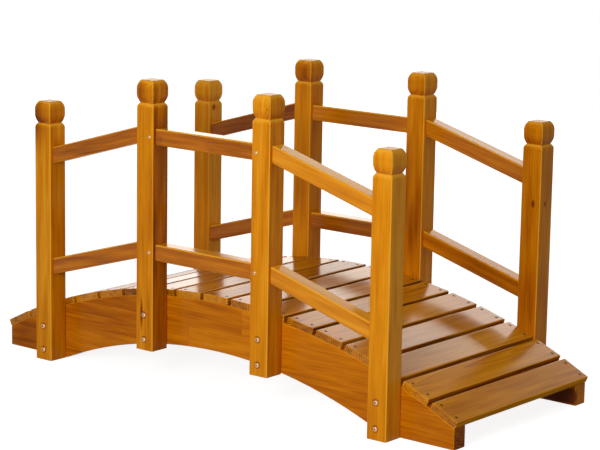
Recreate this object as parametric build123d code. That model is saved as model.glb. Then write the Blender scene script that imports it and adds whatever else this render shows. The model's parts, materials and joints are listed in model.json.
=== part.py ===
from build123d import *
import os
from math import asin, atan2, cos, degrees, hypot, sin, sqrt

# A small arched garden footbridge: two arched side beams, a deck of cross planks and eight posts with rails.
# Millimetres. X runs along the bridge, Y across it, Z up. The origin is on the ground at the middle.

# Deck
bridge_length = 1500.0
deck_width = 566.0
deck_crown_height = 252.0
deck_end_height = 68.0
plank_width = 81.0
plank_thickness = 18.0
plank_gap = 11.0
plank_edge_radius = 3.0
plank_end_arris = 1.0
plank_overhang = 8.0

# Side beams
beam_thickness = 45.0
arch_rise = 109.0
beam_arris = 1.5

# Posts
post_side = 57.0
post_height = 693.0
mid_post_spacing = 382.0
outer_post_spacing = 1116.0
post_foot_drop = 1.5
post_arris = 2.3

# Post heads, milled the same on all four sides: upright cheeks that curve in towards the top and the neck
head_height = 57.5
head_top_width = 41.0
head_top_curve = 21.0
head_foot_curve = 23.0
head_arris = 1.6
head_rim = 1.0
neck_depth = 6.2
shoulder_height = 12.0

# Rails: the upper one hangs below the posts' necks and the lower one stands above their feet, to its middle
rail_height = 42.0
rail_thickness = 42.0
rail_arris = 3.0
upper_rail_drop = 83.0
lower_rail_height = 256.5

# Rail tenons and the mortises that take them
tenon_length = 20.0
tenon_height = 24.0
tenon_thickness = 14.0
joint_clearance = 0.3

# The deck follows a circle: plank tops are tangent to it, and the end planks' corners reach the bridge's ends.
# As many planks as fit stand between them and the crown's plank, no closer together than their gap.
half_length = bridge_length / 2
half_plank = plank_width / 2
deck_fall = deck_crown_height - deck_end_height
deck_radius = (half_length**2 + deck_fall**2 - half_plank**2) / (2 * deck_fall)
deck_center_z = deck_crown_height - deck_radius
end_plank_angle = asin(half_length / hypot(deck_radius, half_plank)) - atan2(half_plank, deck_radius)
planks_each_side = int(end_plank_angle * deck_radius / (plank_width + plank_gap))
plank_count = 2 * planks_each_side + 1
plank_pitch_angle = end_plank_angle / planks_each_side

# The beams carry the planks' undersides, and their arch springs from the outer posts' inner faces.
seat_radius = deck_radius - plank_thickness
beam_half_length = half_length - plank_overhang
arch_half_span = outer_post_spacing / 2 - post_side / 2
arch_radius = (arch_half_span**2 + arch_rise**2) / (2 * arch_rise)
beam_center_y = deck_width / 2 - beam_thickness / 2

# The posts stand against the beams' outer faces, and the middle ones end just under the arch.
post_center_y = deck_width / 2 + post_side / 2
neck_z = post_height - head_height
mid_post_reach = mid_post_spacing / 2 + post_side / 2
mid_post_lift = arch_rise - arch_radius + sqrt(arch_radius**2 - mid_post_reach**2) - post_foot_drop
post_places = [
    (-outer_post_spacing / 2, 0),
    (-mid_post_spacing / 2, mid_post_lift),
    (mid_post_spacing / 2, mid_post_lift),
    (outer_post_spacing / 2, 0),
]
rail_levels = {"upper": neck_z - upper_rail_drop, "lower": lower_rail_height}
sides = {"right": -1, "left": 1}


def upright_face(edges):
    """A face in the XZ plane, from edges drawn with their second coordinate as the height."""
    return Plane.XZ * make_face(edges)


def extrude_across(face, thickness):
    """The solid of an upright face, as thick as given and centred on the XZ plane."""
    return extrude(face, amount=thickness / 2, both=True)


def side_beam():
    """A thick board with a flat seat for each plank along its top, two flat feet and an arch between them."""
    corner_radius = seat_radius / cos(plank_pitch_angle / 2)
    seat_corners = []
    for step in range(plank_count - 1):
        angle = (step - planks_each_side + 1 / 2) * plank_pitch_angle
        seat_corners.append((corner_radius * sin(angle), deck_center_z + corner_radius * cos(angle)))
    end_drop = (seat_radius - beam_half_length * sin(end_plank_angle)) / cos(end_plank_angle)
    end_height = deck_center_z + end_drop
    outline = [
        Polyline((-beam_half_length, end_height), *seat_corners, (beam_half_length, end_height)),
        Polyline((beam_half_length, end_height), (beam_half_length, 0), (arch_half_span, 0)),
        ThreePointArc((arch_half_span, 0), (0, arch_rise), (-arch_half_span, 0)),
        Polyline((-arch_half_span, 0), (-beam_half_length, 0), (-beam_half_length, end_height)),
    ]
    edges = [edge for line in outline for edge in line.edges()]
    board = extrude_across(upright_face(edges), beam_thickness)
    cheeks = board.faces().sort_by(Axis.Y)
    return chamfer(cheeks[0].edges() + cheeks[-1].edges(), beam_arris)


def deck_plank():
    """A cross board with rounded long edges and broken end arrises, its top at the origin's height."""
    board = Pos(0, 0, -plank_thickness / 2) * Box(plank_width, deck_width, plank_thickness)
    board = fillet(board.edges().filter_by(Axis.Y), plank_edge_radius)
    ends = board.faces().filter_by(Axis.Y)
    return chamfer(ends.edges(), plank_end_arris)


def milled_bar(flank, foot, top, arris):
    """A square bar cut to one outline from both directions, with its arrises broken between its flat ends."""
    mirrored = [mirror(edge, about=Plane.YZ) for edge in flank]
    ends = [Line((-x, z), (x, z)) for x, z in (foot, top)]
    slab = extrude_across(upright_face(flank + mirrored + ends), post_side)
    bar = slab & (Rot(0, 0, 90) * slab)
    level_edges = bar.edges().filter_by(Plane.XY)
    return chamfer([edge for edge in bar.edges() if edge not in level_edges], arris)


def post_blank():
    """A square post: a shaft with a rounded shoulder, drawn in to a neck, and a barrel-shaped head on it."""
    half = post_side / 2
    foot = (half, 0)
    shoulder = (half, neck_z - shoulder_height)
    neck = (half - neck_depth, neck_z)
    belly = (half, neck_z + head_foot_curve)
    brow = (half, post_height - head_top_curve)
    top = (head_top_width / 2, post_height)
    up = (0, 1)
    down = (0, -1)
    shaft = milled_bar([Line(foot, shoulder), TangentArc(shoulder, neck, tangent=up)], foot, neck, post_arris)
    cheek = [TangentArc(belly, neck, tangent=down), Line(belly, brow), TangentArc(brow, top, tangent=up)]
    head = milled_bar(cheek, neck, top, head_arris)
    rim = head.faces().sort_by(Axis.Z)[-1].edges()
    return shaft + chamfer(rim, head_rim)


def sloped_bar(start, end, height, thickness, reach):
    """A bar between two upright end faces, lengthened past each along its slope by a level reach."""
    run = end[0] - start[0]
    rise = end[1] - start[1]
    half = height / 2 * hypot(run, rise) / run
    past = reach * rise / run
    low = (start[0] - reach, start[1] - past)
    high = (end[0] + reach, end[1] + past)
    corners = [(low[0], low[1] - half), (high[0], high[1] - half), (high[0], high[1] + half), (low[0], low[1] + half)]
    edges = Polyline(*corners, close=True).edges()
    return extrude_across(upright_face(edges), thickness)


def rail(start, end):
    """A rail with broken arrises and a tenon at each end."""
    body = sloped_bar(start, end, rail_height, rail_thickness, 0)
    body = chamfer(body.edges(), rail_arris)
    return body + sloped_bar(start, end, tenon_height, tenon_thickness, tenon_length)


def mortise_cutter(start, end):
    """The room for both tenons of a rail, with the joint's clearance on every side."""
    height = tenon_height + 2 * joint_clearance
    thickness = tenon_thickness + 2 * joint_clearance
    return sloped_bar(start, end, height, thickness, tenon_length + joint_clearance)


def bay_ends(bay, level):
    """The middles of a rail's two end faces, on the facing sides of the bay's posts."""
    left_x, left_z = post_places[bay]
    right_x, right_z = post_places[bay + 1]
    return (left_x + post_side / 2, left_z + level), (right_x - post_side / 2, right_z + level)


parts = {}

beam = side_beam()
for side, sign in sides.items():
    parts[f"{side}_beam"] = Pos(0, sign * beam_center_y, 0) * beam

plank = deck_plank()
for index in range(plank_count):
    angle = (index - planks_each_side) * plank_pitch_angle
    turn = Pos(0, 0, deck_center_z) * Rot(0, degrees(angle), 0) * Pos(0, 0, deck_radius)
    parts[f"deck_plank_{index + 1:02d}"] = turn * plank

bays = range(len(post_places) - 1)
rails = {}
mortises = []
for name, level in rail_levels.items():
    for bay in bays:
        start, end = bay_ends(bay, level)
        rails[f"{name}_rail_{bay + 1}"] = rail(start, end)
        mortises.append(mortise_cutter(start, end))

for side, sign in sides.items():
    place = Pos(0, sign * post_center_y, 0)
    for index, (x, z) in enumerate(post_places):
        parts[f"{side}_post_{index + 1}"] = place * (Pos(x, 0, z) * post_blank() - mortises)
    for name, shape in rails.items():
        parts[f"{side}_{name}"] = place * shape

os.makedirs("parts", exist_ok=True)
for name, shape in parts.items():
    export_step(shape, f"parts/{name}.step")
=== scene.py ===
"""A small arched garden footbridge of varnished pine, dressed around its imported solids.

Metres, with +X along the bridge, +Y to its left side and +Z up. Patterns are worked out in millimetres.
"""

import json
import logging
import math
from dataclasses import dataclass, replace
from enum import Enum
from typing import Any, NamedTuple

import bpy
import numpy as np
from mathutils import Euler, Matrix, Vector

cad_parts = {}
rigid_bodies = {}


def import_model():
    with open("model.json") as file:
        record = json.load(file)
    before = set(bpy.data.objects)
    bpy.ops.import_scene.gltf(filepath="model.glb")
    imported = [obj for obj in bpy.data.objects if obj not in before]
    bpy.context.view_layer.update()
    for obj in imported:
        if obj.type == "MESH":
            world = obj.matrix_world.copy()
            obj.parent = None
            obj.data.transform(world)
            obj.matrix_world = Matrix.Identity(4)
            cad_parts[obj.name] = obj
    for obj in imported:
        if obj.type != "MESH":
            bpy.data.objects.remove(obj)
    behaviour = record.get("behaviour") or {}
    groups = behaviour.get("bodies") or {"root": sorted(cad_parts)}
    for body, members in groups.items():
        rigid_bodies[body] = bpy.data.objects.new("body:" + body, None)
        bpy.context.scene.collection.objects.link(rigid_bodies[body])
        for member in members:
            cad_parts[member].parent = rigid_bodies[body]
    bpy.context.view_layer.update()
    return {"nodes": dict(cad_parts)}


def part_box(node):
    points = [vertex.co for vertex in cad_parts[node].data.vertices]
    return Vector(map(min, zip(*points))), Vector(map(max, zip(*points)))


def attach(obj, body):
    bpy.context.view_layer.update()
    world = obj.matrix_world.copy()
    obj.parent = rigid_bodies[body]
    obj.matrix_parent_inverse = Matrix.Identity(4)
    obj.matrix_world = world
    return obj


LOG = logging.getLogger("footbridge")
MM = 0.001
BODY = "root"
SEED = 17
QUARTER_TURN = 90.0
WHITE = "#FFFFFF"

# A mix node's two sockets for colours and its result's, which share their names with those for numbers
MIX_COLOURS = (6, 7)
MIX_RESULT = 2

Point = tuple[float, float, float]
Tree = bpy.types.NodeTree
Node = bpy.types.Node
Socket = bpy.types.NodeSocket
Material = bpy.types.Material
Piece = bpy.types.Object


class Side(Enum):
    """The bridge's two sides, each with the sign of the way out from its middle."""

    RIGHT = -1
    LEFT = 1

    @property
    def prefix(self) -> str:
        """The start of this side's node names."""
        return self.name.lower()


class Grain(Enum):
    """The way the fibres run in a piece."""

    ALONG = (1.0, 0.0, 0.0)
    ACROSS = (0.0, 1.0, 0.0)
    UPRIGHT = (0.0, 0.0, 1.0)


class Level(Enum):
    """The two rails of a bay."""

    UPPER = "upper"
    LOWER = "lower"


def linear(code: str, alpha: float = 1.0) -> tuple[float, float, float, float]:
    """Turns an sRGB hex colour into linear light.

    Args:
        code: The colour as #RRGGBB.
        alpha: The fourth channel.

    Returns:
        Red, green, blue and alpha.
    """
    shares = [int(code[i : i + 2], 16) / 255 for i in (1, 3, 5)]
    red, green, blue = (s / 12.92 if s <= 0.04045 else ((s + 0.055) / 1.055) ** 2.4 for s in shares)
    return red, green, blue, alpha


def add_node(tree: Tree, kind: str, inputs: dict[str | int, Any] | None = None, **settings: Any) -> Node:
    """Adds one node to a tree.

    Args:
        tree: The tree of a material or the world.
        kind: Blender's name for the node.
        inputs: What goes into its sockets, by name or number: a socket is linked, a value is set.
        settings: The node's own settings.

    Returns:
        The new node.
    """
    node = tree.nodes.new(kind)
    for name, value in settings.items():
        setattr(node, name, value)
    for key, value in (inputs or {}).items():
        if isinstance(value, Socket):
            tree.links.new(value, node.inputs[key])
        else:
            node.inputs[key].default_value = value
    return node


def new_material(name: str) -> tuple[Material, Tree]:
    """Makes an empty material.

    Args:
        name: The material's name.

    Returns:
        The material and its node tree.
    """
    material = bpy.data.materials.new(name)
    material.use_nodes = True
    material.node_tree.nodes.clear()
    return material, material.node_tree


@dataclass(frozen=True)
class Knot:
    """A knot, a resin streak, a cloud of stain or a patch of painted shade or highlight, by its middle on a
    face and the way it runs in.

    The radius is in millimetres, and the stretch is how many times as long as wide it is, along the fibres.
    The depth is how much darker it is, or paler where it is negative. The swirl is how far it pushes the
    rings aside, in millimetres.
    """

    at: Point
    branch: Point
    radius: float = 5.0
    stretch: float = 1.3
    depth: float = 0.6
    swirl: float = 7.0


@dataclass(frozen=True)
class Timber:
    """How one piece was sawn: its fibres, its middle, the log's pith beside it in millimetres, and its tones.

    The stain is how much darker it is than plain wood. The side tone, partly the wood's own tone and partly
    painted shade, is how much darker its faces towards +X are, and how much paler those towards -X. The edge
    tone is painted shade, how much darker both are, as in the gaps between planks, and paler where negative.
    The end tone is how much darker its end grain is. The gloss is how strongly its varnish mirrors, as a
    multiple of the finish's own.
    """

    fibres: Point
    middle: Point
    pith: tuple[float, float]
    length_shift: float
    stain: float = 0.0
    side_tone: float = 0.0
    edge_tone: float = 0.0
    end_tone: float = 0.0
    gloss: float = 1.0
    knots: tuple[Knot, ...] = ()

    def to_log(self) -> tuple[Euler, Vector]:
        """Works out the way from the bridge's frame to the log's, where the pith is the Z axis.

        Returns:
            The turn that brings the fibres upright, and the shift that follows it, in millimetres.
        """
        turn = Vector(self.fibres).rotation_difference(Vector((0.0, 0.0, 1.0)))
        middle = turn @ (Vector(self.middle) / MM)
        return turn.to_euler(), Vector((self.pith[0], self.pith[1], self.length_shift)) - middle


@dataclass
class TimberYard:
    """Saws the pieces: picks each one's log, and knows its stain, its tones and painted side shade, its gloss
    and its knots by its node name.
    """

    rng: np.random.Generator
    stains: dict[str, float]
    side_tones: dict[str, float]
    end_tones: dict[str, float]
    glosses: dict[str, float]
    knots: dict[str, tuple[Knot, ...]]
    log_length: float = 9000.0

    def saw(self, name: str, fibres: Point, pith_gap: tuple[float, float], spread: float = 0.0) -> Timber:
        """Saws one piece.

        Args:
            name: The piece's node name.
            fibres: The way its fibres run.
            pith_gap: The least and the greatest distance of the pith from its middle, in millimetres.
            spread: How far its stain may be from the one it is known for.

        Returns:
            The timber.
        """
        low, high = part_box(name)
        turn, gap = self.rng.uniform(0.0, 2 * math.pi), self.rng.uniform(*pith_gap)
        return Timber(
            fibres=fibres,
            middle=tuple((low + high) / 2),
            pith=(gap * math.cos(turn), gap * math.sin(turn)),
            length_shift=self.rng.uniform(0.0, self.log_length),
            stain=self.stains.get(name, 0.0) + self.rng.uniform(-spread, spread),
            side_tone=self.side_tones.get(name, 0.0),
            end_tone=self.end_tones.get(name, 0.0),
            gloss=self.glosses.get(name, 1.0),
            knots=self.knots.get(name, ()),
        )


@dataclass(frozen=True)
class VarnishedPine:
    """Pine, sawn and planed, stained honey and coated with clear gloss varnish.

    Late wood is darker, so each ring draws a dark line on a face and an arc on the end grain. Broken arrises
    are paler, partly wear and partly a painted highlight, and faces that look up may carry a painted
    highlight too. A face's tone may also carry painted shade: on the sides of posts towards +X and on plank
    edges in the gaps. The clear coat mirrors little when seen square on, so faces stay deep and warm, and
    mirrors what is behind the bridge where it is seen at a low angle. End grain soaks it up and is duller,
    and edges may be duller too.
    """

    # From the palest stain to the darkest, and where plain wood stands between them
    stains: tuple[str, ...] = ("#EEA52A", "#D8860C", "#B66405", "#7A3802")
    base_level: float = 0.35

    # Sizes are in millimetres. Real rings are about 3 and fibres far finer: both are drawn coarser to show.
    ring: float = 6.5
    ring_sharpness: float = 1.6
    ring_depth: float = 0.1
    bend: float = 16.0
    bend_width: float = 90.0
    bend_length: float = 620.0
    bend_detail: float = 1.0
    fibre: float = 2.6
    fibre_length: float = 110.0
    fibre_detail: float = 2.0
    fibre_depth: float = 0.34
    fibre_height: float = 0.12
    cloud: float = 16.0
    cloud_length: float = 190.0
    cloud_detail: float = 3.0
    cloud_depth: float = 0.8

    # How far a knot darkens the wood and bends its rings, in radii of the knot
    knot_reach: float = 1.6
    swirl_reach: float = 4.0

    # How much darker end grain and its rings are; how much darker faces that look up are, a painted highlight
    # where negative; how much darker arrises are, partly wear and partly a painted highlight where negative;
    # and which normals show an arris or an edge
    end_depth: float = 0.15
    end_ring_depth: float = 0.35
    top_depth: float = 0.0
    arris_depth: float = -0.6
    arris: float = 2.2
    arris_samples: int = 8
    arris_facing: tuple[float, float] = (0.93, 0.75)
    edge_facing: tuple[float, float] = (0.3, 0.72)

    # Varnish has an index of about 1.5. It is matched down to how little these faces mirror the white room.
    roughness: tuple[float, float] = (0.4, 0.55)
    specular: float = 0.0
    coat: float = 1.0
    coat_roughness: float = 0.12
    coat_ior: float = 1.11
    end_dullness: float = 0.45
    edge_dullness: float = 0.0

    def log_place(self, tree: Tree, place: Socket, timber: Timber) -> Socket:
        """Turns a point of the bridge into a point of the log, in millimetres.

        Args:
            tree: The material's node tree.
            place: The point, in metres.
            timber: How the piece was sawn.

        Returns:
            The socket of the point in the log.
        """
        turn, shift = timber.to_log()
        inputs = {"Vector": place, "Location": shift, "Rotation": turn, "Scale": (1 / MM,) * 3}
        return add_node(tree, "ShaderNodeMapping", inputs).outputs["Vector"]

    def streaks(self, tree: Tree, place: Socket, width: float, length: float, detail: float) -> Node:
        """Adds noise that is drawn out along the fibres.

        Args:
            tree: The material's node tree.
            place: The point in the log.
            width: The noise's size across the fibres, in millimetres.
            length: Its size along them.
            detail: How many finer layers it has.

        Returns:
            The noise node.
        """
        scale = (1 / width, 1 / width, 1 / length)
        drawn = add_node(tree, "ShaderNodeVectorMath", {0: place, 1: scale}, operation="MULTIPLY")
        noise = {"Vector": drawn.outputs[0], "Scale": 1.0, "Detail": detail}
        return add_node(tree, "ShaderNodeTexNoise", noise)

    def knot_share(self, tree: Tree, place: Socket, knot: Knot, timber: Timber, reach: float) -> Socket:
        """Adds a spot round a knot's branch, one at its middle and nothing past its reach.

        Args:
            tree: The material's node tree.
            place: The point, in metres.
            knot: The knot.
            timber: How the piece was sawn.
            reach: The spot's radius as a multiple of the knot's.

        Returns:
            The socket of the share.
        """
        away = add_node(tree, "ShaderNodeVectorMath", {0: place, 1: knot.at}, operation="SUBTRACT")
        shrink = [1.0 - abs(share) * (1.0 - 1.0 / knot.stretch) for share in timber.fibres]
        near = add_node(tree, "ShaderNodeVectorMath", {0: away.outputs[0], 1: shrink}, operation="MULTIPLY")
        branch = Vector(knot.branch).normalized()
        sides = {0: near.outputs[0], 1: branch}
        across = add_node(tree, "ShaderNodeVectorMath", sides, operation="CROSS_PRODUCT")
        gap = add_node(tree, "ShaderNodeVectorMath", {0: across.outputs[0]}, operation="LENGTH")
        limits = {"Value": gap.outputs["Value"], "From Min": reach * knot.radius * MM, "From Max": 0.0}
        return add_node(tree, "ShaderNodeMapRange", limits, interpolation_type="SMOOTHSTEP").outputs["Result"]

    def broken_arris(self, tree: Tree, normal: Socket) -> Socket:
        """Adds a share that is one on a broken arris, where the normal is turned well away from all axes.

        Args:
            tree: The material's node tree.
            normal: The normal, rounded over the arris.

        Returns:
            The socket of the share.
        """
        size = add_node(tree, "ShaderNodeVectorMath", {0: normal}, operation="ABSOLUTE")
        axes = add_node(tree, "ShaderNodeSeparateXYZ", {0: size.outputs[0]})
        most = axes.outputs["X"]
        for axis in ("Y", "Z"):
            pair = {0: most, 1: axes.outputs[axis]}
            most = add_node(tree, "ShaderNodeMath", pair, operation="MAXIMUM").outputs[0]
        limits = {"Value": most, "From Min": self.arris_facing[0], "From Max": self.arris_facing[1]}
        return add_node(tree, "ShaderNodeMapRange", limits).outputs["Result"]

    def marks(self, tree: Tree, place: Socket, timber: Timber) -> list[tuple[Socket, float]]:
        """Adds what marks one piece only: its knots.

        Args:
            tree: The material's node tree.
            place: The point, in metres.
            timber: How the piece was sawn.

        Returns:
            Adds what marks one piece only: its knots, among them any painted shadow or highlight.
        """
        reach = self.knot_reach
        return [(self.knot_share(tree, place, knot, timber, reach), knot.depth) for knot in timber.knots]

    def material(self, name: str, timber: Timber) -> Material:
        """Makes the finish for one piece.

        Late wood is a power of the share of a ring that has gone by, where rings are counted by the distance
        from a pith that wanders along the log. Fibres, clouds of stain, end grain, knots, arrises (wear and a
        painted highlight), a painted highlight on faces that look up, and painted shade on faces towards +X
        and in gaps are added to it, and the sum picks a stain.

        Args:
            name: The piece's name.
            timber: How the piece was sawn.

        Returns:
            The material.
        """
        material, tree = new_material(f"varnished_pine_{name}")
        source = add_node(tree, "ShaderNodeTexCoord")
        place, normal = source.outputs["Object"], source.outputs["Normal"]
        log = self.log_place(tree, place, timber)

        wander = self.streaks(tree, log, self.bend_width, self.bend_length, self.bend_detail)
        swing = Vector((self.bend, self.bend, 0.0))
        span = {0: wander.outputs["Color"], 1: 2 * swing, 2: -swing}
        drift = add_node(tree, "ShaderNodeVectorMath", span, operation="MULTIPLY_ADD")
        bent = add_node(tree, "ShaderNodeVectorMath", {0: log, 1: drift.outputs[0]}, operation="ADD")
        flatten = {0: bent.outputs[0], 1: (1.0, 1.0, 0.0)}
        flat = add_node(tree, "ShaderNodeVectorMath", flatten, operation="MULTIPLY")
        reach = add_node(tree, "ShaderNodeVectorMath", {0: flat.outputs[0]}, operation="LENGTH")
        radius = reach.outputs["Value"]
        for knot in timber.knots:
            spot = self.knot_share(tree, place, knot, timber, self.swirl_reach)
            swirl = {0: spot, 1: knot.swirl, 2: radius}
            radius = add_node(tree, "ShaderNodeMath", swirl, operation="MULTIPLY_ADD").outputs[0]
        turns = add_node(tree, "ShaderNodeMath", {0: radius, 1: self.ring}, operation="DIVIDE")
        grown = add_node(tree, "ShaderNodeMath", {0: turns.outputs[0]}, operation="FRACT")
        sharpen = {0: grown.outputs[0], 1: self.ring_sharpness}
        late = add_node(tree, "ShaderNodeMath", sharpen, operation="POWER").outputs[0]

        fibre = self.streaks(tree, log, self.fibre, self.fibre_length, self.fibre_detail).outputs["Fac"]
        cloud = self.streaks(tree, log, self.cloud, self.cloud_length, self.cloud_detail).outputs["Fac"]
        ends = {0: normal, 1: timber.fibres}
        end = add_node(tree, "ShaderNodeVectorMath", ends, operation="DOT_PRODUCT").outputs["Value"]
        square = add_node(tree, "ShaderNodeMath", {0: end, 1: end}, operation="MULTIPLY").outputs[0]

        level = timber.stain - (self.fibre_depth + self.cloud_depth) / 2 + self.base_level
        parts = [(late, self.ring_depth), (fibre, self.fibre_depth), (cloud, self.cloud_depth)]
        parts.append((square, self.end_depth + timber.end_tone))
        # Arrises are paler: partly wear, partly a painted highlight
        rounded = add_node(tree, "ShaderNodeBevel", {"Radius": self.arris * MM}, samples=self.arris_samples)
        edge = rounded.outputs["Normal"]
        parts.append((self.broken_arris(tree, edge), self.arris_depth))
        end_ring = add_node(tree, "ShaderNodeMath", {0: late, 1: square}, operation="MULTIPLY")
        parts.append((end_ring.outputs[0], self.end_ring_depth))
        # Faces that look up get a painted highlight, and faces towards +X painted shade that is partly the
        # wood's own tone
        ways = add_node(tree, "ShaderNodeSeparateXYZ", {0: normal})
        side = ways.outputs["X"]
        parts += [(ways.outputs["Z"], self.top_depth), (side, timber.side_tone)]
        # Faces towards +X and -X: painted shade on plank edges in the gaps, paler where the tone is negative
        steep = add_node(tree, "ShaderNodeMath", {0: side, 1: side}, operation="MULTIPLY")
        limits = {"Value": steep.outputs[0], "From Min": self.edge_facing[0], "From Max": self.edge_facing[1]}
        both = add_node(tree, "ShaderNodeMapRange", limits).outputs["Result"]
        parts.append((both, timber.edge_tone))
        parts += self.marks(tree, place, timber)
        for share, depth in parts:
            sum_inputs = {0: share, 1: depth, 2: level}
            level = add_node(tree, "ShaderNodeMath", sum_inputs, operation="MULTIPLY_ADD").outputs[0]
        colour = add_node(tree, "ShaderNodeValToRGB", {"Fac": level})
        ramp = colour.color_ramp.elements
        ramp[1].position = 1.0
        for step, stain in enumerate(self.stains):
            where = step / (len(self.stains) - 1)
            stop = ramp[0] if step == 0 else ramp[-1] if where == 1.0 else ramp.new(where)
            stop.color = linear(stain)

        dull = {"Value": fibre, "To Min": self.roughness[0], "To Max": self.roughness[1]}
        rough = add_node(tree, "ShaderNodeMapRange", dull)
        relief = {"Height": fibre, "Strength": self.fibre_height, "Distance": MM, "Normal": edge}
        bump = add_node(tree, "ShaderNodeBump", relief)
        gloss = film = self.coat * timber.gloss
        for share, dullness in ((square, self.end_dullness), (both, self.edge_dullness)):
            soak = {0: share, 1: -dullness * film, 2: gloss}
            gloss = add_node(tree, "ShaderNodeMath", soak, operation="MULTIPLY_ADD").outputs[0]
        varnish = {
            "Base Color": colour.outputs["Color"],
            "Roughness": rough.outputs["Result"],
            "Normal": bump.outputs["Normal"],
            "Coat Normal": edge,
            "Specular IOR Level": self.specular,
            "Coat Weight": gloss,
            "Coat Roughness": self.coat_roughness,
            "Coat IOR": self.coat_ior,
        }
        surface = add_node(tree, "ShaderNodeBsdfPrincipled", varnish)
        add_node(tree, "ShaderNodeOutputMaterial", {"Surface": surface.outputs["BSDF"]})
        return material


class GluedCell(NamedTuple):
    """A point's place in a glued board: height in rows, run in lengths, and its length's random numbers."""

    height: Socket
    run: Socket
    pick: Node


@dataclass(frozen=True)
class GluedPine(VarnishedPine):
    """Varnished pine glued up from short lengths in staggered rows, as a wide board is.

    Each length comes from its own log, so stain and grain change at its ends and along the glue lines, and
    the glue shows as a thin dark seam.
    """

    # Sizes are in millimetres. A real glue line is about 0.1 wide, and is drawn coarser to show.
    row_height: float = 70.0
    row_base: float = 27.0
    length: float = 1200.0
    first_joint: float = -268.0
    joint_step: float = 178.0
    spread: tuple[float, float, float] = (160.0, 160.0, 4000.0)
    tone_depth: float = 0.16
    seam: float = 1.4
    seam_depth: float = 0.18

    def cell(self, tree: Tree, place: Socket, timber: Timber) -> GluedCell:
        """Finds the glued length that a point is in.

        The row is the whole part of the height over the row's height, and the length's number the whole part
        of the distance from that row's first joint over the length. Both pick the length's random numbers.

        Args:
            tree: The material's node tree.
            place: The point, in metres.
            timber: How the piece was sawn.

        Returns:
            The sockets of the cell.
        """
        axes = add_node(tree, "ShaderNodeSeparateXYZ", {0: place})
        rows = {0: axes.outputs["Z"], 1: 1 / (self.row_height * MM), 2: -self.row_base / self.row_height}
        height = add_node(tree, "ShaderNodeMath", rows, operation="MULTIPLY_ADD").outputs[0]
        row = add_node(tree, "ShaderNodeMath", {0: height}, operation="FLOOR").outputs[0]
        joints = {0: row, 1: -self.joint_step / self.length, 2: -self.first_joint / self.length}
        start = add_node(tree, "ShaderNodeMath", joints, operation="MULTIPLY_ADD")
        lengths = {0: axes.outputs["X"], 1: 1 / (self.length * MM), 2: start.outputs[0]}
        run = add_node(tree, "ShaderNodeMath", lengths, operation="MULTIPLY_ADD").outputs[0]
        number = add_node(tree, "ShaderNodeMath", {0: run}, operation="FLOOR").outputs[0]
        corner = add_node(tree, "ShaderNodeCombineXYZ", {"X": number, "Y": row, "Z": timber.length_shift})
        pick = add_node(tree, "ShaderNodeTexWhiteNoise", {"Vector": corner.outputs[0]}, noise_dimensions="3D")
        return GluedCell(height, run, pick)

    def log_place(self, tree: Tree, place: Socket, timber: Timber) -> Socket:
        """Turns a point of the bridge into a point of the log that its glued length was sawn from.

        Args:
            tree: The material's node tree.
            place: The point, in metres.
            timber: How the piece was sawn.

        Returns:
            The socket of the point in the log, in millimetres.
        """
        log = super().log_place(tree, place, timber)
        shift = {0: self.cell(tree, place, timber).pick.outputs["Color"], 1: self.spread, 2: log}
        return add_node(tree, "ShaderNodeVectorMath", shift, operation="MULTIPLY_ADD").outputs[0]

    def marks(self, tree: Tree, place: Socket, timber: Timber) -> list[tuple[Socket, float]]:
        """Adds each glued length's own stain and the seams.

        A seam is where the count of rows or lengths is near a whole number. Ping-pong over a half gives the
        distance from the nearest one.

        Args:
            tree: The material's node tree.
            place: The point, in metres.
            timber: How the piece was sawn.

        Returns:
            The share of each mark and how much darker it is.
        """
        cell = self.cell(tree, place, timber)
        marks = super().marks(tree, place, timber)
        marks.append((cell.pick.outputs["Value"], self.tone_depth))
        for count, size in ((cell.height, self.row_height), (cell.run, self.length)):
            gap = add_node(tree, "ShaderNodeMath", {0: count, 1: 0.5}, operation="PINGPONG")
            limits = {"Value": gap.outputs[0], "From Min": self.seam / size, "From Max": 0.0}
            marks.append((add_node(tree, "ShaderNodeMapRange", limits).outputs["Result"], self.seam_depth))
        return marks


@dataclass(frozen=True)
class PlatedSteel:
    """Cold-headed steel under a thin coat, which is duller in its flecks.

    As it stands it is zinc plated and yellow passivated, which looks like dull brass. The flecks are in
    millimetres, coarser than real ones so that they show.
    """

    name: str = "zinc_plated_steel"
    colour: str = "#DDB48A"
    fleck_colour: str = "#A87E50"
    fleck: float = 2.0
    fleck_detail: float = 2.0
    roughness: tuple[float, float] = (0.4, 0.55)
    metallic: float = 1.0
    specular: float = 0.5

    def material(self) -> Material:
        """Makes the finish."""
        material, tree = new_material(self.name)
        place = add_node(tree, "ShaderNodeTexCoord").outputs["Object"]
        flecks = {"Vector": place, "Scale": 1 / (self.fleck * MM), "Detail": self.fleck_detail}
        spots = add_node(tree, "ShaderNodeTexNoise", flecks).outputs["Fac"]
        colour = add_node(tree, "ShaderNodeValToRGB", {"Fac": spots})
        for stop, code in zip(colour.color_ramp.elements, (self.colour, self.fleck_colour)):
            stop.color = linear(code)
        dull = {"Value": spots, "To Min": self.roughness[0], "To Max": self.roughness[1]}
        rough = add_node(tree, "ShaderNodeMapRange", dull)
        metal = {
            "Base Color": colour.outputs["Color"],
            "Metallic": self.metallic,
            "Roughness": rough.outputs["Result"],
            "Specular IOR Level": self.specular,
        }
        surface = add_node(tree, "ShaderNodeBsdfPrincipled", metal)
        add_node(tree, "ShaderNodeOutputMaterial", {"Surface": surface.outputs["BSDF"]})
        return material


def seen_ray(tree: Tree) -> Socket:
    """Adds a socket that is one for what the lens, a mirror or glass sees, and nothing for other light.

    Args:
        tree: The tree of a material or the world.

    Returns:
        The socket.
    """
    path = add_node(tree, "ShaderNodeLightPath")
    share = path.outputs["Is Camera Ray"]
    for kind in ("Is Glossy Ray", "Is Transmission Ray"):
        pair = {0: share, 1: path.outputs[kind]}
        share = add_node(tree, "ShaderNodeMath", pair, operation="MAXIMUM").outputs[0]
    return share


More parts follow.
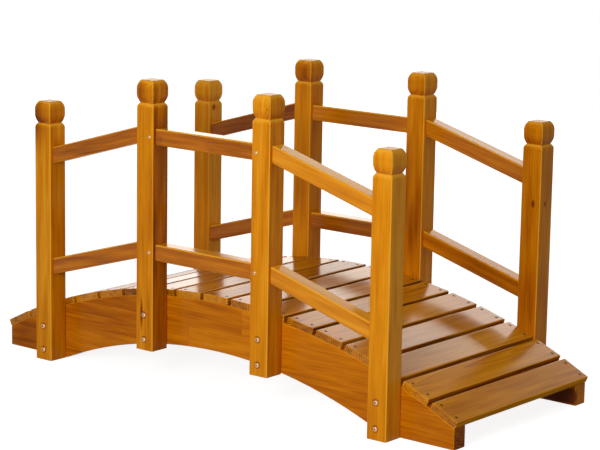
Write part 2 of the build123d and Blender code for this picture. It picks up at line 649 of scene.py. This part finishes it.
@dataclass(frozen=True)
class PaperSweep:
    """A matt paper floor, which the lens sees lit to white and which keeps a faint shadow."""

    colour: str = "#A9A9A9"
    white: float = 0.88

    def material(self) -> Material:
        """Makes the floor's finish."""
        material, tree = new_material("paper_floor")
        paper = add_node(tree, "ShaderNodeBsdfDiffuse", {"Color": linear(self.colour)})
        level = add_node(tree, "ShaderNodeMath", {0: seen_ray(tree), 1: self.white}, operation="MULTIPLY")
        glow = add_node(tree, "ShaderNodeEmission", {"Strength": level.outputs[0]})
        surface = add_node(tree, "ShaderNodeAddShader", {0: paper.outputs[0], 1: glow.outputs[0]})
        add_node(tree, "ShaderNodeOutputMaterial", {"Surface": surface.outputs[0]})
        return material


def dress(node: Piece, material: Material) -> None:
    """Puts a finish on a CAD node.

    Args:
        node: The node's object.
        material: The finish.
    """
    node.material_slots[0].material = material
    LOG.info("dressed %s", node.name)


@dataclass(frozen=True)
class Fastener:
    """A round head with a socket in it.

    Its half outline runs from the middle out, in millimetres of radius and height, and its first points are
    the socket's. The socket takes a dark finish, which is painted shade. The weld closes its middle, and
    edges sharper than the smooth angle stay sharp.
    """

    outline: tuple[tuple[float, float], ...]
    socket_points: int
    socket_sides: int = 6
    steps: int = 24
    smooth_angle: float = 35.0
    weld: float = 0.01

    def surface(
        self, places: np.ndarray, out: np.ndarray, along: np.ndarray
    ) -> tuple[np.ndarray, np.ndarray]:
        """Works out the heads as one turned surface each, closed at the middle.

        A point is place + radius * (along * cos(angle) + side * sin(angle)) + height * out. In the socket the
        radius is that of a regular polygon: its apothem over the cosine of the angle from the nearest flat.

        Args:
            places: The heads' middles on the wood, one row each, in metres.
            out: The way out of the wood at each.
            along: A way along the wood at each.

        Returns:
            The points and the four-cornered faces.
        """
        radius, height = (np.array(self.outline) * MM).T
        angle = np.linspace(0.0, 2 * np.pi, self.steps, endpoint=False)
        flat = np.pi / self.socket_sides
        polygon = np.cos(flat) / np.cos((angle % (2 * flat)) - flat)
        inside = np.arange(len(radius))[:, None] < self.socket_points
        reach = radius[:, None] * np.where(inside, polygon[None, :], 1.0)
        side = np.cross(out, along)
        cosine, sine = np.cos(angle)[None, :, None], np.sin(angle)[None, :, None]
        ring = along[:, None, :] * cosine + side[:, None, :] * sine
        points = (
            places[:, None, None, :]
            + reach[None, :, :, None] * ring[:, None, :, :]
            + height[None, :, None, None] * out[:, None, None, :]
        )
        heads, rows = np.arange(len(places)), np.arange(len(radius) - 1)
        columns = np.arange(self.steps)
        head, row, column = np.meshgrid(heads, rows, columns, indexing="ij")
        follow = (column + 1) % self.steps
        base = head * len(radius) * self.steps
        corners = [(row, column), (row + 1, column), (row + 1, follow), (row, follow)]
        faces = np.stack([base + r * self.steps + c for r, c in corners], axis=-1)
        return points.reshape(-1, 3), faces.reshape(-1, 4)

    def build(
        self,
        name: str,
        places: np.ndarray,
        out: np.ndarray,
        along: np.ndarray,
        finishes: tuple[Material, ...],
    ) -> None:
        """Makes one piece of these heads, which rides on the bridge.

        Args:
            name: The piece's name.
            places: The heads' middles on the wood.
            out: The way out of the wood at each.
            along: A way along the wood at each.
            finishes: The finish of the heads and, last, that of their sockets, which is painted shade.
        """
        points, faces = self.surface(places, out, along)
        mesh = bpy.data.meshes.new(name)
        mesh.from_pydata(points, [], faces)
        mesh.shade_smooth()
        mesh.set_sharp_from_angle(angle=math.radians(self.smooth_angle))
        for finish in finishes:
            mesh.materials.append(finish)
        rows = np.arange(len(faces)) // self.steps % (len(self.outline) - 1)
        # Socket faces take the last finish, dark as painted shade
        socket = np.where(rows < self.socket_points - 1, len(finishes) - 1, 0)
        mesh.polygons.foreach_set("material_index", socket.astype(np.int32))
        piece = bpy.data.objects.new(name, mesh)
        bpy.context.scene.collection.objects.link(piece)
        weld = piece.modifiers.new("middle", "WELD")
        weld.merge_threshold = self.weld * MM
        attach(piece, BODY)
        LOG.info("built %s, %d heads", name, len(places))


@dataclass
class SideBeams:
    """The two arched side beams."""

    nodes: dict[str, Piece]
    yard: TimberYard
    finish: GluedPine = GluedPine(
        stains=("#DE8E14", "#CE780A", "#AC5A04", "#743402"),
        bend=24.0,
        cloud=12.0,
        cloud_length=130.0,
        cloud_depth=0.75,
    )
    pith_gap: tuple[float, float] = (240.0, 400.0)

    def dress(self) -> None:
        """Gives each beam its glued-up board."""
        for side in Side:
            name = f"{side.prefix}_beam"
            timber = self.yard.saw(name, Grain.ALONG.value, self.pith_gap)
            dress(self.nodes[name], self.finish.material(name, timber))


@dataclass
class Deck:
    """The planks across both beams, with two screws at each end of a plank."""

    nodes: dict[str, Piece]
    yard: TimberYard
    crown: float = 0.252
    end_height: float = 0.068
    length: float = 1.5
    plank_width: float = 0.081
    plank_count: int = 17
    width: float = 0.566
    screw_inset: float = 0.017
    screw_spacing: float = 0.048
    pith_gap: tuple[float, float] = (30.0, 90.0)
    stain_spread: float = 0.1
    # Painted shade on plank edges in the gaps past the crown, growing between the two planks given below, and
    # the front plank's paler edges
    edge_tones: tuple[float, float] = (0.1, 0.32)
    front_tone: float = -0.2
    edge_planks: tuple[int, int] = (6, 10)
    finish: VarnishedPine = VarnishedPine(
        stains=("#E39A22", "#D28412", "#AA6008", "#542806"),
        ring=5.0,
        ring_depth=0.3,
        cloud_depth=0.9,
        end_depth=0.08,
        end_ring_depth=0.38,
        edge_dullness=1.0,
        coat=0.9,
        coat_ior=1.42,
        coat_roughness=0.16,
    )
    screw: Fastener = Fastener(
        outline=((0.0, -0.6), (1.5, -0.6), (1.7, 0.1), (3.7, 0.25), (4.1, -0.2)),
        socket_points=3,
        socket_sides=4,
        steps=16,
    )

    def radius(self) -> float:
        """Works out the deck's circle from its crown, its ends and the width of a plank."""
        fall = self.crown - self.end_height
        return ((self.length / 2) ** 2 + fall**2 - (self.plank_width / 2) ** 2) / (2 * fall)

    def tilts(self) -> np.ndarray:
        """Works out each plank's tilt about Y, from the -X end to the +X end."""
        radius, half = self.radius(), self.plank_width / 2
        last = math.asin(self.length / 2 / math.hypot(radius, half)) - math.atan2(half, radius)
        return np.linspace(-last, last, self.plank_count)

    def dress(self) -> None:
        """Gives each plank its own board, with painted shade darkening its edges in the gaps past the crown,
        and paler edges in front.
        """
        for index in range(self.plank_count):
            name = f"deck_plank_{index + 1:02d}"
            timber = self.yard.saw(name, Grain.ACROSS.value, self.pith_gap, self.stain_spread)
            in_front = index == self.plank_count - 1
            gap_shade = float(np.interp(index, self.edge_planks, self.edge_tones))
            tone = self.front_tone if in_front else gap_shade
            dress(self.nodes[name], self.finish.material(name, replace(timber, edge_tone=tone)))

    def build_screws(self, steel: Material) -> None:
        """Sets the screws in the planks' tops.

        A plank's top is its tilt's point on the deck's circle, and a screw stands off it by half the spacing
        along the plank's own width.

        Args:
            steel: The screws' finish.
        """
        ends, sides = np.array((-1.0, 1.0)), np.array((-1.0, 1.0))
        tilt, end, side = (grid.ravel() for grid in np.meshgrid(self.tilts(), ends, sides, indexing="ij"))
        zero = np.zeros_like(tilt)
        out = np.stack((np.sin(tilt), zero, np.cos(tilt)), axis=-1)
        along = np.stack((np.cos(tilt), zero, -np.sin(tilt)), axis=-1)
        middle = np.array((0.0, 0.0, self.crown - self.radius()))
        places = middle + self.radius() * out + along * (side * self.screw_spacing / 2)[:, None]
        places[:, 1] = end * (self.width / 2 - self.screw_inset)
        self.screw.build("deck_screws", places, out, along, (steel,))


@dataclass
class Railing:
    """One side's four posts and six rails, with the bolts and screws that hold them."""

    nodes: dict[str, Piece]
    yard: TimberYard
    side: Side
    post_count: int = 4
    bay_count: int = 3
    bolt_heights: tuple[float, ...] = (0.028, 0.092)
    bolt_shifts: tuple[float, ...] = (0.0, -0.001, -0.002, -0.0025)
    lock_shift: float = 0.0155
    post_pith_gap: tuple[float, float] = (90.0, 220.0)
    rail_pith_gap: tuple[float, float] = (70.0, 180.0)
    # Painted shadow: a dark ring round each bolt head on the post's face
    bolt_shadow: Knot = Knot(
        at=(0.0, 0.0, 0.0), branch=Grain.ACROSS.value, radius=7.2, stretch=1.0, depth=2.0, swirl=0.0
    )
    # Posts and rails are paler on faces that look up: a painted highlight on the posts' shoulders and the
    # rails' tops
    post_finish: VarnishedPine = VarnishedPine(top_depth=-0.45)
    rail_finish: VarnishedPine = VarnishedPine(top_depth=-0.36, coat_ior=1.21)
    bolt: Fastener = Fastener(
        outline=(
            (0.0, 1.0),
            (2.0, 1.0),
            (2.1, 3.6),
            (2.6, 3.8),
            (4.3, 3.4),
            (5.8, 2.5),
            (6.8, 1.3),
            (7.2, 0.5),
            (7.2, 0.0),
        ),
        socket_points=3,
    )
    lock: Fastener = Fastener(
        outline=(
            (0.0, 0.6),
            (1.3, 0.6),
            (1.4, 2.0),
            (1.9, 2.2),
            (3.4, 1.9),
            (4.5, 1.1),
            (5.2, 0.4),
            (5.2, 0.0),
        ),
        socket_points=3,
    )

    def post_name(self, index: int) -> str:
        """The node name of the post at an index from the -X end."""
        return f"{self.side.prefix}_post_{index + 1}"

    def bolt_places(self, index: int) -> list[Point]:
        """Works out the middles of a post's bolts on its outer face."""
        low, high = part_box(self.post_name(index))
        face = low.y if self.side is Side.RIGHT else high.y
        middle = (low.x + high.x) / 2 + self.bolt_shifts[index]
        return [(middle, face, low.z + rise) for rise in self.bolt_heights]

    def dress_posts(self) -> None:
        """Gives each post its own timber, with a ring of painted shadow round each bolt."""
        for index in range(self.post_count):
            name = self.post_name(index)
            timber = self.yard.saw(name, Grain.UPRIGHT.value, self.post_pith_gap)
            rings = tuple(replace(self.bolt_shadow, at=at) for at in self.bolt_places(index))
            timber = replace(timber, knots=timber.knots + rings)
            dress(self.nodes[name], self.post_finish.material(name, timber))

    def dress_rails(self) -> None:
        """Gives each rail its own timber, with its fibres along its slope."""
        boxes = [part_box(self.post_name(index)) for index in range(self.post_count)]
        feet = [Vector(((low.x + high.x) / 2, 0.0, low.z)) for low, high in boxes]
        for level in Level:
            for bay in range(self.bay_count):
                name = f"{self.side.prefix}_{level.value}_rail_{bay + 1}"
                slope = (feet[bay + 1] - feet[bay]).normalized()
                timber = self.yard.saw(name, tuple(slope), self.rail_pith_gap)
                dress(self.nodes[name], self.rail_finish.material(name, timber))

    def build_fasteners(self, finishes: tuple[Material, ...]) -> None:
        """Sets two bolts in each post's foot and a lock screw beside each end of the middle bay's rails.

        Args:
            finishes: The finish of both and, last, that of their sockets, which is painted shade.
        """
        boxes = [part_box(self.post_name(index)) for index in range(self.post_count)]
        bolts = [place for index in range(self.post_count) for place in self.bolt_places(index)]
        face = bolts[0][1]
        locks = []
        for level in Level:
            rail_low, rail_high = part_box(f"{self.side.prefix}_{level.value}_rail_2")
            height = (rail_low.z + rail_high.z) / 2
            for index, inward in ((1, 1), (2, -1)):
                low, high = boxes[index]
                locks.append(((low.x + high.x) / 2 + inward * self.lock_shift, face, height))
        rows = ((self.bolt, "foot_bolts", bolts), (self.lock, "rail_lock_screws", locks))
        for fastener, name, spots in rows:
            places = np.array(spots)
            out = np.tile((0.0, float(self.side.value), 0.0), (len(places), 1))
            along = np.tile((0.0, 0.0, 1.0), (len(places), 1))
            fastener.build(f"{self.side.prefix}_{name}", places, out, along, finishes)


@dataclass(frozen=True)
class SoftBox:
    """A soft lamp: where it hangs, what it points at, its width and height, its watts and its colour."""

    name: str
    place: Point
    target: Point
    size: tuple[float, float]
    power: float
    colour: str = WHITE

    def build(self) -> None:
        """Hangs the lamp, out of the lens's sight."""
        data = bpy.data.lights.new(self.name, "AREA")
        data.color = linear(self.colour)[:3]
        data.shape = "RECTANGLE"
        data.size, data.size_y = self.size
        data.energy = self.power
        lamp = bpy.data.objects.new(self.name, data)
        lamp.location = self.place
        way = Vector(self.target) - Vector(self.place)
        lamp.rotation_euler = way.to_track_quat("-Z", "Y").to_euler()
        lamp.visible_camera = False
        bpy.context.scene.collection.objects.link(lamp)


@dataclass
class Studio:
    """The lens, the lamps, the white room and the paper floor."""

    lens_place: Point = (3.56401, -4.31565, 1.47875)
    lens_turn: float = 39.238
    lens_dip: float = 10.968
    lens_roll: float = 0.958
    focal_pixels: float = 2198.469
    image_width: float = 600.0
    sensor: float = 36.0
    sight: float = 100.0
    lamps: tuple[SoftBox, ...] = (
        SoftBox("key", place=(0.95, -2.9, 1.2), target=(0.1, 0.0, 0.35), size=(1.0, 1.0), power=55.0),
        SoftBox(
            "back",
            place=(-2.27, 4.46, 1.78),
            target=(0.0, 0.0, 1.78),
            size=(5.8, 3.56),
            power=145.0,
            colour="#FFFAF0",
        ),
    )
    room_light: float = 0.32
    room_bands: tuple[tuple[float, str], ...] = (
        (0.0, WHITE),
        (0.1, "#EDE8DF"),
        (0.34, "#EDE8DF"),
        (0.44, WHITE),
        (0.55, WHITE),
        (0.58, "#8C806E"),
        (0.62, "#7E7260"),
    )
    floor_size: float = 60.0
    floor_gap: float = 0.0003

    def build_camera(self) -> None:
        """Puts the lens at the photograph's place: turned, dipped below level and rolled."""
        data = bpy.data.cameras.new("lens")
        data.sensor_width = self.sensor
        data.lens = self.focal_pixels * self.sensor / self.image_width
        data.clip_end = self.sight
        camera = bpy.data.objects.new("lens", data)
        turns = [(self.lens_turn, "Z"), (QUARTER_TURN - self.lens_dip, "X"), (self.lens_roll, "Z")]
        pose = Matrix.Translation(self.lens_place)
        for angle, axis in turns:
            pose = pose @ Matrix.Rotation(math.radians(angle), 4, axis)
        camera.matrix_world = pose
        bpy.context.scene.collection.objects.link(camera)
        bpy.context.scene.camera = camera

    def build_floor(self) -> None:
        """Lays the paper floor just under the beams' feet."""
        half = self.floor_size / 2
        corners = np.array([(-half, -half), (half, -half), (half, half), (-half, half)])
        points = np.column_stack((corners, np.full(len(corners), -self.floor_gap)))
        mesh = bpy.data.meshes.new("paper_floor")
        mesh.from_pydata(points, [], [tuple(range(len(corners)))])
        mesh.materials.append(PaperSweep().material())
        floor = bpy.data.objects.new("paper_floor", mesh)
        bpy.context.scene.collection.objects.link(floor)

    def build_room(self) -> None:
        """Makes the room a plain soft light on the object, plain white to the lens and banded to mirrors.

        The bands are matched to what the photo's deck mirrors, and each runs from a height of the ray's
        direction up: white by the floor, a cream wall, a white light band and a dim ceiling.
        """
        world = bpy.data.worlds.new("white_room")
        world.use_nodes = True
        tree = world.node_tree
        tree.nodes.clear()
        way = add_node(tree, "ShaderNodeTexCoord").outputs["Generated"]
        rise = add_node(tree, "ShaderNodeSeparateXYZ", {0: way}).outputs["Z"]
        seen = add_node(tree, "ShaderNodeValToRGB", {"Fac": rise})
        bands = seen.color_ramp.elements
        bands.remove(bands[-1])
        for number, (height, paint) in enumerate(self.room_bands):
            stop = bands[0] if number == 0 else bands.new(height)
            stop.position, stop.color = height, linear(paint)
        soft = add_node(tree, "ShaderNodeBackground", {"Color": linear(WHITE), "Strength": self.room_light})
        lens = add_node(tree, "ShaderNodeLightPath").outputs["Is Camera Ray"]
        in_mirrors, in_lens = MIX_COLOURS
        views = {0: lens, in_mirrors: seen.outputs["Color"], in_lens: linear(WHITE)}
        shown = add_node(tree, "ShaderNodeMix", views, data_type="RGBA").outputs[MIX_RESULT]
        white = add_node(tree, "ShaderNodeBackground", {"Color": shown, "Strength": 1.0})
        shaders = {0: seen_ray(tree), 1: soft.outputs[0], 2: white.outputs[0]}
        mixed = add_node(tree, "ShaderNodeMixShader", shaders)
        add_node(tree, "ShaderNodeOutputWorld", {"Surface": mixed.outputs[0]})
        bpy.context.scene.world = world

    def build(self) -> None:
        """Sets up the whole studio."""
        self.build_camera()
        self.build_floor()
        self.build_room()
        for lamp in self.lamps:
            lamp.build()
        bpy.context.scene.view_settings.view_transform = "Standard"


# How much darker a piece is than plain wood, or paler where negative. All tones are matched to the photo.
PIECE_STAINS: dict[str, float] = {
    "right_post_1": -0.05,
    "right_post_2": 0.04,
    "right_post_3": -0.04,
    "right_post_4": -0.02,
    "left_post_1": -0.07,
    "left_post_2": 0.06,
    "left_post_3": 0.16,
    "left_post_4": 0.14,
    "right_upper_rail_1": 0.34,
    "right_upper_rail_2": 0.36,
    "right_upper_rail_3": -0.04,
    "right_lower_rail_1": 0.28,
    "right_lower_rail_2": 0.26,
    "left_upper_rail_1": 0.54,
    "left_upper_rail_2": 0.18,
    "left_upper_rail_3": 0.2,
    "left_lower_rail_1": 0.28,
    "left_lower_rail_2": 0.37,
    "left_lower_rail_3": 0.24,
    "deck_plank_10": -0.1,
    "deck_plank_11": -0.1,
    "deck_plank_12": -0.1,
    "deck_plank_13": -0.15,
    "deck_plank_14": -0.2,
    "deck_plank_15": -0.3,
    "deck_plank_16": -0.2,
}

# How much darker a post's faces towards +X are, and how much paler those towards -X: painted shade, partly
# the wood's own tone
SIDE_SHADES_AND_TONES: dict[str, float] = {
    "right_post_1": 0.16,
    "right_post_2": 0.36,
    "right_post_3": 0.1,
    "right_post_4": -0.16,
    "left_post_1": -0.22,
    "left_post_3": -0.25,
    "left_post_4": -0.1,
}

# How much darker a piece's end grain is, or paler where negative
END_TONES: dict[str, float] = {
    "left_beam": -0.45,
    "deck_plank_01": -0.1,
    "deck_plank_02": -0.05,
    "deck_plank_04": -0.3,
    "deck_plank_05": -0.1,
    "deck_plank_06": 0.1,
    "deck_plank_08": -0.3,
    "deck_plank_09": -0.35,
    "deck_plank_10": 0.12,
    "deck_plank_12": 0.12,
    "deck_plank_13": 0.15,
    "deck_plank_14": 0.08,
    "deck_plank_16": -0.08,
    "deck_plank_17": -0.08,
}

# How strongly each plank's varnish mirrors, from the -X end, as a multiple of the deck's finish
PLANK_GLOSSES = (0.8, 0.8, 0.85, 0.85, 0.8, 0.7, 0.7, 0.66, 0.62, 0.8, 1.0, 0.66, 0.74, 0.98, 1.1, 0.7, 0.72)
PIECE_GLOSS: dict[str, float] = {
    f"deck_plank_{number:02d}": gloss for number, gloss in enumerate(PLANK_GLOSSES, start=1)
}

# The ways that knots and clouds run in, from the faces along the bridge and from those across it
INTO_SIDE: Point = (0.0, 1.0, 0.0)
INTO_END: Point = (1.0, 0.0, 0.0)

# Each piece's knots, streaks, clouds and patches of painted shade or highlight: middle, way in, radius,
# stretch, depth and swirl
KNOTS: dict[str, tuple[Knot, ...]] = {
    "right_beam": (
        Knot((-0.68, -0.283, 0.05), INTO_SIDE, 45.0, 2.0, 0.4, 0.0),
        Knot((-0.36, -0.283, 0.13), INTO_SIDE, 60.0, 3.0, 0.14, 0.0),
        Knot((0.02, -0.283, 0.13), INTO_SIDE, 40.0, 3.0, -0.24, 0.0),
    ),
    # Painted shadow: the dark inner faces of the beam's feet near the ground, under the deck's end
    "left_beam": (Knot((0.0, 0.226, 0.022), INTO_END, 18.0, 1.0, 1.8, 0.0),),
    "left_post_1": (Knot((-0.5295, 0.3034, 0.6194), INTO_END, 7.5, 1.3, 1.0),),
    "left_post_2": (Knot((-0.191, 0.283, 0.753), INTO_SIDE, 24.0, 1.2, 0.3, 0.0),),
    "left_post_3": (Knot((0.191, 0.283, 0.36), INTO_SIDE, 26.0, 3.0, 0.2, 0.0),),
    "left_post_4": (
        Knot((0.558, 0.283, 0.25), INTO_SIDE, 26.0, 3.0, 0.28, 0.0),
        Knot((0.5662, 0.283, 0.485), INTO_SIDE, 4.5, 2.0, 0.8),
        Knot((0.5865, 0.307, 0.4844), INTO_END, 4.5, 1.6, 0.6),
    ),
    "right_post_3": (Knot((0.2096, -0.34, 0.7489), INTO_SIDE, 3.0, 1.3, 0.45),),
    "right_post_1": (
        Knot((-0.575, -0.34, 0.655), INTO_SIDE, 30.0, 2.5, 0.55, 0.0),
        # Painted highlight on the post's shoulder under its head, on its +X face
        Knot((-0.5295, -0.3115, 0.613), INTO_END, 16.0, 1.4, -0.25, 0.0),
    ),
    "right_post_2": (
        Knot((-0.208, -0.34, 0.755), INTO_SIDE, 24.0, 1.2, 0.35, 0.0),
        Knot((-0.1625, -0.3115, 0.735), INTO_END, 20.0, 3.0, -0.35, 0.0),
        Knot((-0.2, -0.34, 0.1815), INTO_SIDE, 4.5, 8.0, 0.75),
        Knot((-0.2032, -0.34, 0.641), INTO_SIDE, 1.5),
    ),
}


def main() -> None:
    """Loads the frame and dresses it piece by piece."""
    logging.basicConfig(level=logging.INFO, format="%(name)s: %(message)s")
    for spare in list(bpy.data.objects):
        bpy.data.objects.remove(spare)
    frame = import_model()
    nodes = frame["nodes"]
    rng = np.random.default_rng(SEED)
    yard = TimberYard(rng, PIECE_STAINS, SIDE_SHADES_AND_TONES, END_TONES, PIECE_GLOSS, KNOTS)
    steel = PlatedSteel().material()
    # A dark finish: the deck screws' heads, and painted shade deep in the sockets of the bolts and lock
    # screws
    phosphate_and_socket_shade = PlatedSteel(
        name="phosphated_steel",
        colour="#2E2212",
        fleck_colour="#46341E",
        roughness=(0.5, 0.65),
        metallic=0.0,
        specular=0.0,
    ).material()

    SideBeams(nodes, yard).dress()
    deck = Deck(nodes, yard)
    deck.dress()
    deck.build_screws(phosphate_and_socket_shade)
    for side in Side:
        railing = Railing(nodes, yard, side)
        railing.dress_posts()
        railing.dress_rails()
        railing.build_fasteners((steel, phosphate_and_socket_shade))
    Studio().build()


if __name__ == "__main__":
    main()
